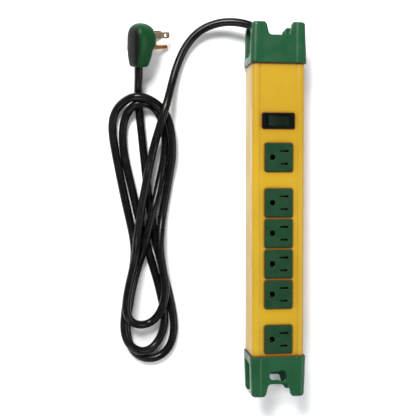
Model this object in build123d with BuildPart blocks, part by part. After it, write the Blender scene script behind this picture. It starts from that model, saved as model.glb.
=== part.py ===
from build123d import *
import math
import os

# Six-outlet power strip: a folded steel case between two moulded end caps, six outlets in the
# front, a rocker switch, the contact bars and leads behind them, and a mains lead with its plug.
#
# X runs across the strip, Y along it towards the lead, Z up from the table it lies on.
# The origin is on the table, under the middle of the strip. All sizes are in millimetres.

os.makedirs("parts", exist_ok=True)

# ---------------------------------------------------------------- case
CASE_LENGTH = 292.0         # between the rims of the two caps
CASE_WIDTH = 52.6
CASE_HEIGHT = 40.0
SHEET = 1.2                 # steel thickness
CASE_CORNER = 4.0
HEM_CORNER = 1.8            # bend radius at the back edges
FLAT_HALF_WIDTH = 19.0      # the front's middle, pressed back between the two corner ribs
FLAT_DEPTH = 0.5
FLAT_SLOPE = 1.0
LIP_WIDTH = 8.0             # the side walls' return along the back
RIVET_RADIUS = 1.6
RIVET_HEAD_RADIUS = 3.0
RIVET_HEAD_HEIGHT = 1.0
RIVET_SPACING = 100.0
LINER_THICKNESS = 0.5
LINER_WIDTH = 33.0

# ---------------------------------------------------------------- end caps
CAP_LENGTH = 40.5           # rim to tips
CAP_WALL = 2.0
CAP_GRIP = 7.0              # how far the case reaches into a cap
CAP_FIT = 0.1               # clearance round the case
CAP_CORNER = 5.0
CAP_TAPER = 1.5             # how much narrower each side is at the tips
CAP_TIP_ROUND = 3.0
BACK_TRIM = 0.4             # moulded over-depth, cut off flat
END_WALL_FACE = 12.0        # rim to the outer face of the end wall
SIDE_RECESS = 2.6
PILLAR_WIDTH = 13.0
PILLAR_DEPTH = 10.0
NOTCH_WIDTH = 20.0          # at the bottom of the notch between two pillars
NOTCH_DEPTH = 13.3
NOTCH_SPLAY = 2.6
NOTCH_CORNER = 3.6
BRIDGE_WALL = 2.6           # wall between two pillars
HANG_SLOT_LENGTH = 18.0
HANG_SLOT_HEIGHT = 8.6
HANG_HOLE_RADIUS = 5.3
HANG_SLOT_FROM_RIM = 19.0
CAP_SCREW_RADIUS = 1.5
CAP_SCREW_HEAD_RADIUS = 2.7
CAP_SCREW_SPACING = 40.0
CAP_SCREW_FIT = 0.05
CAP_SCREW_DRIVE_LENGTH = 2.6
CAP_SCREW_DRIVE_WIDTH = 0.7

# ---------------------------------------------------------------- outlets
FIRST_OUTLET_Y = 52.7
OUTLET_STEPS = [0.0, 45.0, 30.4, 30.4, 30.4, 45.0]
OUTLET_FACE = 28.0
OUTLET_FACE_HEIGHT = 2.0
OUTLET_FACE_CORNER = 1.5
OUTLET_FACE_EDGE = 0.7
OUTLET_BODY = 25.0
OUTLET_BODY_DEPTH = 18.0
OUTLET_WALL = 1.6
OUTLET_FRONT_WALL = 3.0
OUTLET_BACK = 2.5
OUTLET_FIT = 0.2
BARB_LENGTH = 10.0
BARB_REACH = 0.9
BLADE_LINE_X = 5.2
GROUND_TO_BLADES = 11.9     # across the strip, from the ground hole to the line of the slots
BLADE_SPACING = 12.7
NEUTRAL_SLOT_LENGTH = 9.0
HOT_SLOT_LENGTH = 7.6
SLOT_WIDTH = 2.1
GROUND_HOLE_RADIUS = 3.1
GROUND_FLAT = 2.3           # the hole's flat side, from its centre

# ---------------------------------------------------------------- contact bars
BAR_THICKNESS = 1.2
BAR_WIDTH = 3.6
BAR_END = 9.0               # how far a bar runs past the end outlets
LEAF_THICKNESS = 0.6
LEAF_HEIGHT = 13.0
LEAF_LENGTH = 7.0
LEAF_GAP = 1.3
GROUND_LEAF_GAP = 4.6
LEAF_WINDOW = 0.5           # clearance round the leaves in an outlet's back
HOT_BAR_X = 12.6
NEUTRAL_BAR_X = -1.8
GROUND_BAR_X = -14.0

# ---------------------------------------------------------------- switch
SWITCH_X = -0.5
SWITCH_Y = 88.8
BEZEL_LENGTH = 32.7
BEZEL_WIDTH = 15.4
BEZEL_HEIGHT = 1.8
BEZEL_EDGE = 0.7
SWITCH_BODY_LENGTH = 29.4
SWITCH_BODY_WIDTH = 12.8
SWITCH_BODY_DEPTH = 19.0
SWITCH_FLOOR = 2.0
ROCKER_LENGTH = 22.4
ROCKER_WIDTH = 10.2
ROCKER_RISE = 2.6           # the ends of the rocker over its pivot
ROCKER_DISH = 1.2           # how far its middle lies under its ends
ROCKER_DROP = 3.6           # the rocker's skirt under its pivot
ROCKER_WALL = 1.2
ROCKER_GAP = 0.35
ROCKER_TILT = 8.0           # each way from level
PIVOT_DROP = 2.6            # pivot under the bezel's face
PIVOT_RADIUS = 1.3
PIVOT_CLEARANCE = 0.08
PLUNGER_RADIUS = 1.0
PLUNGER_TUBE = 0.7
PLUNGER_REACH = 7.6         # plunger's tip, from the pivot
ARM_LENGTH = 17.0
ARM_WIDTH = 4.0
ARM_THICKNESS = 0.8
ARM_DROP = 9.2              # contact arm's pivot under the rocker's pivot
ARM_RATIO = 0.5             # the arm tips half as far as the rocker, the other way
TERMINAL_SPACING = 9.0
TERMINAL_WIDTH = 4.8
TERMINAL_THICKNESS = 0.8
TERMINAL_TAIL = 7.5
LAMP_RADIUS = 1.1
LAMP_LENGTH = 6.0

# ---------------------------------------------------------------- leads inside the case
LEAD_RADIUS = 1.3
LEAD_BEND = 5.0
JACKET_END_INSIDE = 5.0     # how far the jacket reaches past the end wall, into the case
GROUND_SCREW_RADIUS = 1.9
GROUND_SCREW_HEAD = 3.6

# ---------------------------------------------------------------- mains lead
CORD_DIAMETER = 8.3
CORD_EXIT_X = -10.0
CORD_EXIT_Z = 22.0
CORD_LIFT = 4.4             # axis of a lead that lies on the table
BOOT_BASE_DIAMETER = 13.0
BOOT_TIP_DIAMETER = 9.8
BOOT_FLANGE_DIAMETER = 15.5
BOOT_FLANGE = 1.6
BOOT_BORE_CLEARANCE = 0.06
HANK_HEIGHT = 24.0
LEAD_END = 9.0              # straight run of the lead into the plug

# ---------------------------------------------------------------- plug
PLUG_X = -136.9
PLUG_BOTTOM_Y = 143.0
PLUG_AXIS_Z = 17.4
PLUG_ROLL = 35.0            # the pins point right and down, to the table
PLUG_PITCH = 14.0           # the pins prop up the plug's far end
PLUG_LENGTH = 42.5
PLUG_BACK = 9.4             # back of the plug, from the lead's axis
PLUG_FACE = 16.0            # pin face, from the lead's axis
PLUG_THICKNESS = 25.0
PLUG_TAIL_THICKNESS = 17.0
PLUG_BACK_ROUND = 8.5
PLUG_FACE_ROUND = 4.0
PIN_FACE_START = 20.0       # along the plug, from its lead end
PIN_STEP = 3.4
BLADES_FROM_END = 30.5
BLADE_LENGTH = 17.2
BLADE_WIDTH = 6.35
NEUTRAL_BLADE_WIDTH = 7.6
BLADE_THICKNESS = 1.5
BLADE_ROOT = 5.0            # how far a pin is set into the plug
BLADE_HOLE_RADIUS = 1.7
BLADE_HOLE_FROM_FACE = 12.0
BLADE_TIP_BEVEL = 1.4
GROUND_PIN_RADIUS = 2.4
GROUND_PIN_LENGTH = 19.6

# ---------------------------------------------------------------- places worked out from these
CASE_BACK_Z = CAP_WALL
CASE_FRONT_Z = CASE_BACK_Z + CASE_HEIGHT
FLAT_Z = CASE_FRONT_Z - FLAT_DEPTH
SHEET_INNER_Z = FLAT_Z - SHEET
BASE_TOP_Z = CASE_BACK_Z + 2 * SHEET
CAP_TOP_Z = CASE_FRONT_Z + CAP_WALL
CAP_MIDDLE_Z = CAP_TOP_Z / 2
CAP_WIDTH = CASE_WIDTH + 2 * CAP_WALL
RIM_Y = CASE_LENGTH / 2
CASE_END_Y = RIM_Y + CAP_GRIP
END_WALL_Y = RIM_Y + END_WALL_FACE
TIP_Y = RIM_Y + CAP_LENGTH
NOTCH_Y = TIP_Y - NOTCH_DEPTH
LIP_MIDDLE_X = CASE_WIDTH / 2 - LIP_WIDTH / 2 - SHEET / 2
OUTLET_YS = [FIRST_OUTLET_Y - sum(OUTLET_STEPS[: i + 1]) for i in range(len(OUTLET_STEPS))]
OUTLET_TOP_Z = FLAT_Z + OUTLET_FACE_HEIGHT
OUTLET_BOTTOM_Z = FLAT_Z - OUTLET_BODY_DEPTH
GROUND_X = BLADE_LINE_X - GROUND_TO_BLADES
BAR_TOP_Z = OUTLET_BOTTOM_Z
BAR_BOTTOM_Z = BAR_TOP_Z - BAR_THICKNESS
BAR_START_Y = OUTLET_YS[0] + BAR_END
BAR_STOP_Y = OUTLET_YS[-1] - BAR_END
BEZEL_TOP_Z = FLAT_Z + BEZEL_HEIGHT
PIVOT_Z = BEZEL_TOP_Z - PIVOT_DROP
SWITCH_BOTTOM_Z = FLAT_Z - SWITCH_BODY_DEPTH
ARM_Z = PIVOT_Z - ARM_DROP
TERMINAL_BOTTOM_Z = SWITCH_BOTTOM_Z - TERMINAL_TAIL
JACKET_END_Y = END_WALL_Y - CAP_FIT - (END_WALL_FACE - CAP_GRIP) - JACKET_END_INSIDE
CORD_RADIUS = CORD_DIAMETER / 2
PLUG_HEADING = Vector(0, 1, 0).rotate(Axis.X, PLUG_PITCH)


def printed_radii(name, points):
    """Radii for the corners of a cord's route, each arc as large as its two runs allow."""
    radii = []
    for before, here, after in zip(points, points[1:], points[2:]):
        run_in = Vector(*here) - Vector(*before)
        run_out = Vector(*after) - Vector(*here)
        turn = math.radians(run_in.get_angle(run_out))
        radii.append(0.45 * min(run_in.length, run_out.length) / math.tan(turn / 2))
    print(name, "bend radii:", [round(radius, 1) for radius in radii])
    return radii


# ================================================================ case
with BuildPart() as housing_cover:
    with BuildSketch(Plane.XZ) as channel:
        with BuildLine():
            Polyline(
                (-CASE_WIDTH / 2, CASE_BACK_Z),
                (-CASE_WIDTH / 2, CASE_FRONT_Z),
                (-FLAT_HALF_WIDTH - FLAT_SLOPE, CASE_FRONT_Z),
                (-FLAT_HALF_WIDTH, FLAT_Z),
                (FLAT_HALF_WIDTH, FLAT_Z),
                (FLAT_HALF_WIDTH + FLAT_SLOPE, CASE_FRONT_Z),
                (CASE_WIDTH / 2, CASE_FRONT_Z),
                (CASE_WIDTH / 2, CASE_BACK_Z),
                close=True,
            )
        make_face()
        outer_corners = channel.vertices().group_by(Axis.X)
        back_and_front = [outer_corners[0].sort_by(Axis.Y), outer_corners[-1].sort_by(Axis.Y)]
        fillet([side[-1] for side in back_and_front], CASE_CORNER)
        hems = channel.vertices().group_by(Axis.Y)[0]
        fillet(hems, HEM_CORNER)
        offset(amount=-SHEET, mode=Mode.SUBTRACT)
        with Locations((0, CASE_BACK_Z)):
            Rectangle(CASE_WIDTH - 2 * LIP_WIDTH, 3 * SHEET, mode=Mode.SUBTRACT)
    extrude(amount=CASE_END_Y, both=True)
    with BuildSketch(Plane.XY.offset(CASE_FRONT_Z)):
        with Locations(*[(0, y) for y in OUTLET_YS]):
            Rectangle(OUTLET_BODY + 2 * OUTLET_FIT, OUTLET_BODY + 2 * OUTLET_FIT)
        with Locations((SWITCH_X, SWITCH_Y)):
            Rectangle(SWITCH_BODY_LENGTH + 2 * OUTLET_FIT, SWITCH_BODY_WIDTH + 2 * OUTLET_FIT)
    extrude(amount=-CASE_CORNER, mode=Mode.SUBTRACT)
    with BuildSketch(Plane.XY):
        with GridLocations(2 * LIP_MIDDLE_X, RIVET_SPACING, 2, 3):
            Circle(RIVET_RADIUS)
        with GridLocations(CAP_SCREW_SPACING, 2 * (RIM_Y + CAP_GRIP / 2), 2, 2):
            Circle(CAP_SCREW_RADIUS)
    extrude(amount=CASE_BACK_Z + SHEET * 1.5, mode=Mode.SUBTRACT)
housing_cover.part.label = "housing_cover"
export_step(housing_cover.part, "parts/housing_cover.step")

BASE_WIDTH = CASE_WIDTH - 2 * SHEET - 2 * HEM_CORNER + 2 * SHEET
with BuildPart() as housing_base:
    with BuildSketch(Plane.XY.offset(CASE_BACK_Z + SHEET)):
        Rectangle(BASE_WIDTH, 2 * CASE_END_Y)
        with GridLocations(2 * LIP_MIDDLE_X, RIVET_SPACING, 2, 3):
            Circle(RIVET_RADIUS, mode=Mode.SUBTRACT)
        with GridLocations(CAP_SCREW_SPACING, 2 * (RIM_Y + CAP_GRIP / 2), 2, 2):
            Circle(CAP_SCREW_RADIUS, mode=Mode.SUBTRACT)
        with Locations((0, BAR_STOP_Y)):
            Circle(GROUND_SCREW_RADIUS, mode=Mode.SUBTRACT)
    extrude(amount=SHEET)
housing_base.part.label = "housing_base"
export_step(housing_base.part, "parts/housing_base.step")

with BuildPart() as base_rivets:
    with BuildSketch(Plane.XY.offset(CASE_BACK_Z - RIVET_HEAD_HEIGHT)):
        with GridLocations(2 * LIP_MIDDLE_X, RIVET_SPACING, 2, 3):
            Circle(RIVET_HEAD_RADIUS)
    extrude(amount=RIVET_HEAD_HEIGHT)
    fillet(base_rivets.faces().sort_by(Axis.Z)[0:6].edges(), RIVET_HEAD_HEIGHT * 0.6)
    with BuildSketch(Plane.XY.offset(CASE_BACK_Z)):
        with GridLocations(2 * LIP_MIDDLE_X, RIVET_SPACING, 2, 3):
            Circle(RIVET_RADIUS)
    extrude(amount=2 * SHEET)
    with BuildSketch(Plane.XY.offset(BASE_TOP_Z)):
        with GridLocations(2 * LIP_MIDDLE_X, RIVET_SPACING, 2, 3):
            Circle(RIVET_RADIUS + 0.6)
    extrude(amount=RIVET_HEAD_HEIGHT)
base_rivets.part.label = "base_rivets"
export_step(base_rivets.part, "parts/base_rivets.step")

with BuildPart() as insulating_liner:
    with BuildSketch(Plane.XY.offset(BASE_TOP_Z)):
        RectangleRounded(LINER_WIDTH, CASE_LENGTH - 2 * LINER_WIDTH / 8, LINER_WIDTH / 8)
        with Locations((0, BAR_STOP_Y)):
            Circle(GROUND_SCREW_HEAD + 1, mode=Mode.SUBTRACT)
    extrude(amount=LINER_THICKNESS)
insulating_liner.part.label = "insulating_liner"
export_step(insulating_liner.part, "parts/insulating_liner.step")


# ================================================================ end caps
def cap_section(end, along, inset):
    """Rounded cross-section of a cap, at a distance along it from the rim."""
    width = CAP_WIDTH - 2 * inset
    with BuildSketch(Plane.XZ.offset(-end * (RIM_Y + along))) as section:
        with Locations((0, CAP_MIDDLE_Z - BACK_TRIM / 2)):
            RectangleRounded(width, CAP_TOP_Z + BACK_TRIM, CAP_CORNER)
    return section.sketch


def cap_blank(end):
    """One end cap, for the end at +Y (end = 1) or -Y (end = -1), without its own openings."""
    with BuildPart() as cap:
        loft([cap_section(end, 0, 0).face(), cap_section(end, CAP_LENGTH, CAP_TAPER).face()])
        tips = cap.faces().sort_by(Axis.Y)[-1 if end > 0 else 0]
        fillet(tips.edges(), CAP_TIP_ROUND)
        # The back is trimmed flat, to stand on
        with Locations((0, end * (RIM_Y + CAP_LENGTH / 2), 0)):
            Box(
                CAP_WIDTH + 2,
                CAP_LENGTH + 2,
                2 * BACK_TRIM,
                align=(Align.CENTER, Align.CENTER, Align.MAX),
                mode=Mode.SUBTRACT,
            )
        # Socket that the case slides into
        with BuildSketch(Plane.XZ.offset(-end * RIM_Y)):
            with Locations((0, (CASE_BACK_Z + CASE_FRONT_Z) / 2)):
                RectangleRounded(
                    CASE_WIDTH + 2 * CAP_FIT, CASE_HEIGHT + 2 * CAP_FIT, HEM_CORNER
                )
        extrude(amount=-end * (CAP_GRIP + CAP_FIT), mode=Mode.SUBTRACT)
        # Open space between the front and back pillars, out through both sides
        with BuildSketch(Plane.XZ.offset(-end * END_WALL_Y)):
            with Locations((0, CAP_MIDDLE_Z)):
                Rectangle(CAP_WIDTH + 2, CAP_TOP_Z - 2 * PILLAR_DEPTH)
                Rectangle(CAP_WIDTH - 2 * CAP_TAPER - 2 * PILLAR_WIDTH, CAP_TOP_Z - 2 * BRIDGE_WALL)
        extrude(amount=-end * CAP_LENGTH, mode=Mode.SUBTRACT)
        # Sides set back behind the collar
        with BuildSketch(Plane.XZ.offset(-end * (CASE_END_Y + 3 * CAP_FIT))):
            with Locations((-CAP_WIDTH / 2, CAP_MIDDLE_Z), (CAP_WIDTH / 2, CAP_MIDDLE_Z)):
                Rectangle(2 * SIDE_RECESS, CAP_TOP_Z - 2 * PILLAR_DEPTH)
        extrude(amount=-end * CAP_LENGTH, mode=Mode.SUBTRACT)
        # Notches between the pillars, front and back
        with BuildSketch(Plane.XY):
            with BuildLine():
                Polyline(
                    (-NOTCH_WIDTH / 2, end * NOTCH_Y),
                    (NOTCH_WIDTH / 2, end * NOTCH_Y),
                    (NOTCH_WIDTH / 2 + NOTCH_SPLAY, end * (TIP_Y - CAP_TIP_ROUND)),
                    (NOTCH_WIDTH / 2 + NOTCH_SPLAY + CAP_TIP_ROUND, end * (TIP_Y + 1)),
                    (-NOTCH_WIDTH / 2 - NOTCH_SPLAY - CAP_TIP_ROUND, end * (TIP_Y + 1)),
                    (-NOTCH_WIDTH / 2 - NOTCH_SPLAY, end * (TIP_Y - CAP_TIP_ROUND)),
                    close=True,
                )
            notch = make_face()
            inner = notch.vertices().sort_by(Axis.Y, reverse=end < 0)
            fillet(inner[0:2], NOTCH_CORNER)
        extrude(amount=CAP_TOP_Z, mode=Mode.SUBTRACT)
        # The front's middle, a little lower than the rounded ridges of the pillars
        with BuildSketch(Plane.XZ.offset(-end * RIM_Y)):
            with BuildLine():
                flat = FLAT_HALF_WIDTH - CAP_TAPER
                Polyline(
                    (-flat - FLAT_SLOPE, CAP_TOP_Z),
                    (-flat, CAP_TOP_Z - FLAT_DEPTH),
                    (flat, CAP_TOP_Z - FLAT_DEPTH),
                    (flat + FLAT_SLOPE, CAP_TOP_Z),
                    close=True,
                )
            make_face()
        extrude(amount=-end * CAP_LENGTH, mode=Mode.SUBTRACT)
        # Screw holes in the back of the collar, with room for the heads
        with Locations(
            (-CAP_SCREW_SPACING / 2, end * (RIM_Y + CAP_GRIP / 2), 0),
            (CAP_SCREW_SPACING / 2, end * (RIM_Y + CAP_GRIP / 2), 0),
        ):
            with Locations(Location((0, 0, 0), (180, 0, 0))):
                CounterSinkHole(CAP_SCREW_RADIUS, CAP_SCREW_HEAD_RADIUS, depth=CAP_WALL + 1)
    return cap


cord_end = cap_blank(1)
with BuildPart() as end_cap_cord:
    add(cord_end.part)
    with BuildSketch(Plane.XZ.offset(-END_WALL_Y)):
        with Locations((CORD_EXIT_X, CORD_EXIT_Z)):
            Circle(BOOT_BASE_DIAMETER / 2)
    extrude(amount=END_WALL_FACE, mode=Mode.SUBTRACT)
end_cap_cord.part.label = "end_cap_cord"
export_step(end_cap_cord.part, "parts/end_cap_cord.step")

foot_end = cap_blank(-1)
with BuildPart() as end_cap_foot:
    add(foot_end.part)
    # Keyhole in the front wall, to hang the strip on a screw
    with BuildSketch(Plane.XY.offset(CAP_MIDDLE_Z)):
        with Locations((-1.0, -RIM_Y - HANG_SLOT_FROM_RIM)):
            SlotOverall(HANG_SLOT_LENGTH - 2.0, HANG_SLOT_HEIGHT)
        with Locations((HANG_SLOT_LENGTH / 2 - HANG_HOLE_RADIUS, -RIM_Y - HANG_SLOT_FROM_RIM)):
            Circle(HANG_HOLE_RADIUS)
    extrude(amount=CAP_TOP_Z, mode=Mode.SUBTRACT)
end_cap_foot.part.label = "end_cap_foot"
export_step(end_cap_foot.part, "parts/end_cap_foot.step")

CAP_SCREW_HEAD_DEPTH = CAP_SCREW_HEAD_RADIUS - CAP_SCREW_RADIUS
CAP_SCREW_TIP_Z = BASE_TOP_Z + 1.6
with BuildPart() as cap_screws:
    with GridLocations(CAP_SCREW_SPACING, 2 * (RIM_Y + CAP_GRIP / 2), 2, 2):
        with Locations((0, 0, CAP_SCREW_HEAD_DEPTH / 2)):
            Cone(
                CAP_SCREW_HEAD_RADIUS - CAP_SCREW_FIT,
                CAP_SCREW_RADIUS - CAP_SCREW_FIT,
                CAP_SCREW_HEAD_DEPTH,
            )
        with Locations((0, 0, (CAP_SCREW_HEAD_DEPTH + CAP_SCREW_TIP_Z) / 2)):
            Cylinder(CAP_SCREW_RADIUS - CAP_SCREW_FIT, CAP_SCREW_TIP_Z - CAP_SCREW_HEAD_DEPTH)
    with BuildSketch(Plane.XY):
        with GridLocations(CAP_SCREW_SPACING, 2 * (RIM_Y + CAP_GRIP / 2), 2, 2):
            Rectangle(CAP_SCREW_DRIVE_LENGTH, CAP_SCREW_DRIVE_WIDTH)
            Rectangle(CAP_SCREW_DRIVE_WIDTH, CAP_SCREW_DRIVE_LENGTH)
    extrude(amount=CAP_SCREW_HEAD_DEPTH * 0.8, mode=Mode.SUBTRACT)
cap_screws.part.label = "cap_screws"
export_step(cap_screws.part, "parts/cap_screws.step")

# ================================================================ outlets
for number, outlet_y in enumerate(OUTLET_YS, start=1):
    label = f"receptacle_{number}"
    with BuildPart() as receptacle:
        # Face plate that lies on the case
        with BuildSketch(Plane.XY.offset(FLAT_Z)):
            with Locations((0, outlet_y)):
                RectangleRounded(OUTLET_FACE, OUTLET_FACE, OUTLET_FACE_CORNER)
        extrude(amount=OUTLET_FACE_HEIGHT)
        chamfer(receptacle.faces().sort_by(Axis.Z)[-1].edges(), OUTLET_FACE_EDGE)
        # Body through the window, hollow from behind
        with BuildSketch(Plane.XY.offset(OUTLET_BOTTOM_Z)):
            with Locations((0, outlet_y)):
                Rectangle(OUTLET_BODY, OUTLET_BODY)
        extrude(amount=OUTLET_BODY_DEPTH)
        with BuildSketch(Plane.XY.offset(OUTLET_BOTTOM_Z)):
            with Locations((0, outlet_y)):
                Rectangle(OUTLET_BODY - 2 * OUTLET_WALL, OUTLET_BODY - 2 * OUTLET_WALL)
        extrude(amount=OUTLET_TOP_Z - OUTLET_FRONT_WALL - OUTLET_BOTTOM_Z, mode=Mode.SUBTRACT)
        # Barbs that catch behind the sheet
        for side in (-1, 1):
            with BuildSketch(Plane.XZ.offset(-outlet_y)):
                with BuildLine():
                    Polyline(
                        (side * OUTLET_BODY / 2, SHEET_INNER_Z - 0.1),
                        (side * (OUTLET_BODY / 2 + BARB_REACH), SHEET_INNER_Z - 0.1),
                        (side * OUTLET_BODY / 2, SHEET_INNER_Z - 5 * BARB_REACH),
                        close=True,
                    )
                make_face()
            extrude(amount=BARB_LENGTH / 2, both=True)
        # Two blade slots and the ground hole
        with BuildSketch(Plane.XY.offset(OUTLET_TOP_Z)):
            with Locations((BLADE_LINE_X, outlet_y + BLADE_SPACING / 2)):
                Rectangle(NEUTRAL_SLOT_LENGTH, SLOT_WIDTH)
            with Locations((BLADE_LINE_X, outlet_y - BLADE_SPACING / 2)):
                Rectangle(HOT_SLOT_LENGTH, SLOT_WIDTH)
            with Locations((GROUND_X, outlet_y)):
                Circle(GROUND_HOLE_RADIUS)
                with Locations((-GROUND_HOLE_RADIUS - GROUND_FLAT, 0)):
                    Rectangle(2 * GROUND_HOLE_RADIUS, 2 * GROUND_HOLE_RADIUS, mode=Mode.SUBTRACT)
        extrude(amount=-OUTLET_FRONT_WALL - 1, mode=Mode.SUBTRACT)
    receptacle.part.label = label
    export_step(receptacle.part, f"parts/{label}.step")

BACK_SIZE = OUTLET_BODY - 2 * OUTLET_WALL - OUTLET_FIT
LEAF_SPAN = LEAF_GAP + 2 * LEAF_THICKNESS
GROUND_SPAN = GROUND_LEAF_GAP + 2 * LEAF_THICKNESS
for number, outlet_y in enumerate(OUTLET_YS, start=1):
    label = f"receptacle_back_{number}"
    with BuildPart() as receptacle_back:
        with BuildSketch(Plane.XY.offset(OUTLET_BOTTOM_Z)):
            with Locations((0, outlet_y)):
                Rectangle(BACK_SIZE, BACK_SIZE)
            with Locations(
                (BLADE_LINE_X, outlet_y + BLADE_SPACING / 2),
                (BLADE_LINE_X, outlet_y - BLADE_SPACING / 2),
            ):
                Rectangle(
                    LEAF_LENGTH + 2 * LEAF_WINDOW, LEAF_SPAN + 2 * LEAF_WINDOW, mode=Mode.SUBTRACT
                )
            with Locations((GROUND_X, outlet_y)):
                Rectangle(
                    BAR_WIDTH + 2 * LEAF_WINDOW, GROUND_SPAN + 2 * LEAF_WINDOW, mode=Mode.SUBTRACT
                )
        extrude(amount=OUTLET_BACK)
    receptacle_back.part.label = label
    export_step(receptacle_back.part, f"parts/{label}.step")


# ================================================================ contact bars
def contact_bar(bar_x, clip_x, clip_shift, clip_length, gap):
    """A stamped bar along the outlets, with a branch and a pair of spring leaves at each one."""
    branch_left = min(bar_x - BAR_WIDTH / 2, clip_x - clip_length / 2)
    branch_right = max(bar_x + BAR_WIDTH / 2, clip_x + clip_length / 2)
    with BuildPart() as bar:
        with BuildSketch(Plane.XY.offset(BAR_BOTTOM_Z)):
            with Locations((bar_x, (BAR_START_Y + BAR_STOP_Y) / 2)):
                Rectangle(BAR_WIDTH, BAR_START_Y - BAR_STOP_Y)
            with Locations(
                *[((branch_left + branch_right) / 2, y + clip_shift) for y in OUTLET_YS]
            ):
                Rectangle(branch_right - branch_left, gap + 2 * LEAF_THICKNESS)
        extrude(amount=BAR_THICKNESS)
        with BuildSketch(Plane.XY.offset(BAR_TOP_Z)):
            with Locations(*[(clip_x, y + clip_shift) for y in OUTLET_YS]):
                with Locations(
                    (0, (gap + LEAF_THICKNESS) / 2),
                    (0, -(gap + LEAF_THICKNESS) / 2),
                ):
                    Rectangle(clip_length, LEAF_THICKNESS)
        extrude(amount=LEAF_HEIGHT)
    return bar


hot_bar = contact_bar(HOT_BAR_X, BLADE_LINE_X, -BLADE_SPACING / 2, LEAF_LENGTH, LEAF_GAP)
hot_bar.part.label = "hot_bar"
export_step(hot_bar.part, "parts/hot_bar.step")

neutral_bar = contact_bar(NEUTRAL_BAR_X, BLADE_LINE_X, BLADE_SPACING / 2, LEAF_LENGTH, LEAF_GAP)
neutral_bar.part.label = "neutral_bar"
export_step(neutral_bar.part, "parts/neutral_bar.step")

ground_bar = contact_bar(GROUND_BAR_X, GROUND_X, 0, BAR_WIDTH, GROUND_LEAF_GAP)
ground_bar.part.label = "ground_bar"
export_step(ground_bar.part, "parts/ground_bar.step")

# ================================================================ switch
ROCKER_OPENING = 2 * math.hypot(ROCKER_LENGTH / 2, ROCKER_RISE) + 2 * ROCKER_GAP
WELL_WIDTH = ROCKER_WIDTH + 2 * ROCKER_GAP
PIVOT_LENGTH = SWITCH_BODY_WIDTH - 2 * ROCKER_GAP
ARM_PIVOT_RADIUS = ARM_THICKNESS
TERMINAL_XS = [SWITCH_X - TERMINAL_SPACING, SWITCH_X, SWITCH_X + TERMINAL_SPACING]
CRADLE_TOP_Z = ARM_Z - ARM_THICKNESS / 2 - ROCKER_GAP

with BuildPart() as switch_frame:
    with BuildSketch(Plane.XY.offset(FLAT_Z)):
        with Locations((SWITCH_X, SWITCH_Y)):
            RectangleRounded(BEZEL_LENGTH, BEZEL_WIDTH, BEZEL_EDGE * 2)
    extrude(amount=BEZEL_HEIGHT)
    chamfer(switch_frame.faces().sort_by(Axis.Z)[-1].edges(), BEZEL_EDGE)
    with BuildSketch(Plane.XY.offset(SWITCH_BOTTOM_Z)):
        with Locations((SWITCH_X, SWITCH_Y)):
            Rectangle(SWITCH_BODY_LENGTH, SWITCH_BODY_WIDTH)
    extrude(amount=SWITCH_BODY_DEPTH)
    with BuildSketch(Plane.XY.offset(SWITCH_BOTTOM_Z + SWITCH_FLOOR)):
        with Locations((SWITCH_X, SWITCH_Y)):
            Rectangle(ROCKER_OPENING, WELL_WIDTH)
    extrude(amount=SWITCH_BODY_DEPTH, mode=Mode.SUBTRACT)
    with BuildSketch(Plane.XZ.offset(-SWITCH_Y)):
        with Locations((SWITCH_X, PIVOT_Z)):
            Circle(PIVOT_RADIUS + PIVOT_CLEARANCE)
    extrude(amount=PIVOT_LENGTH / 2 + ROCKER_GAP / 2, both=True, mode=Mode.SUBTRACT)
    with BuildSketch(Plane.XY.offset(SWITCH_BOTTOM_Z)):
        with Locations(*[(x, SWITCH_Y) for x in TERMINAL_XS]):
            Rectangle(TERMINAL_THICKNESS, TERMINAL_WIDTH)
    extrude(amount=SWITCH_FLOOR, mode=Mode.SUBTRACT)
switch_frame.part.label = "switch_frame"
export_step(switch_frame.part, "parts/switch_frame.step")

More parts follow.
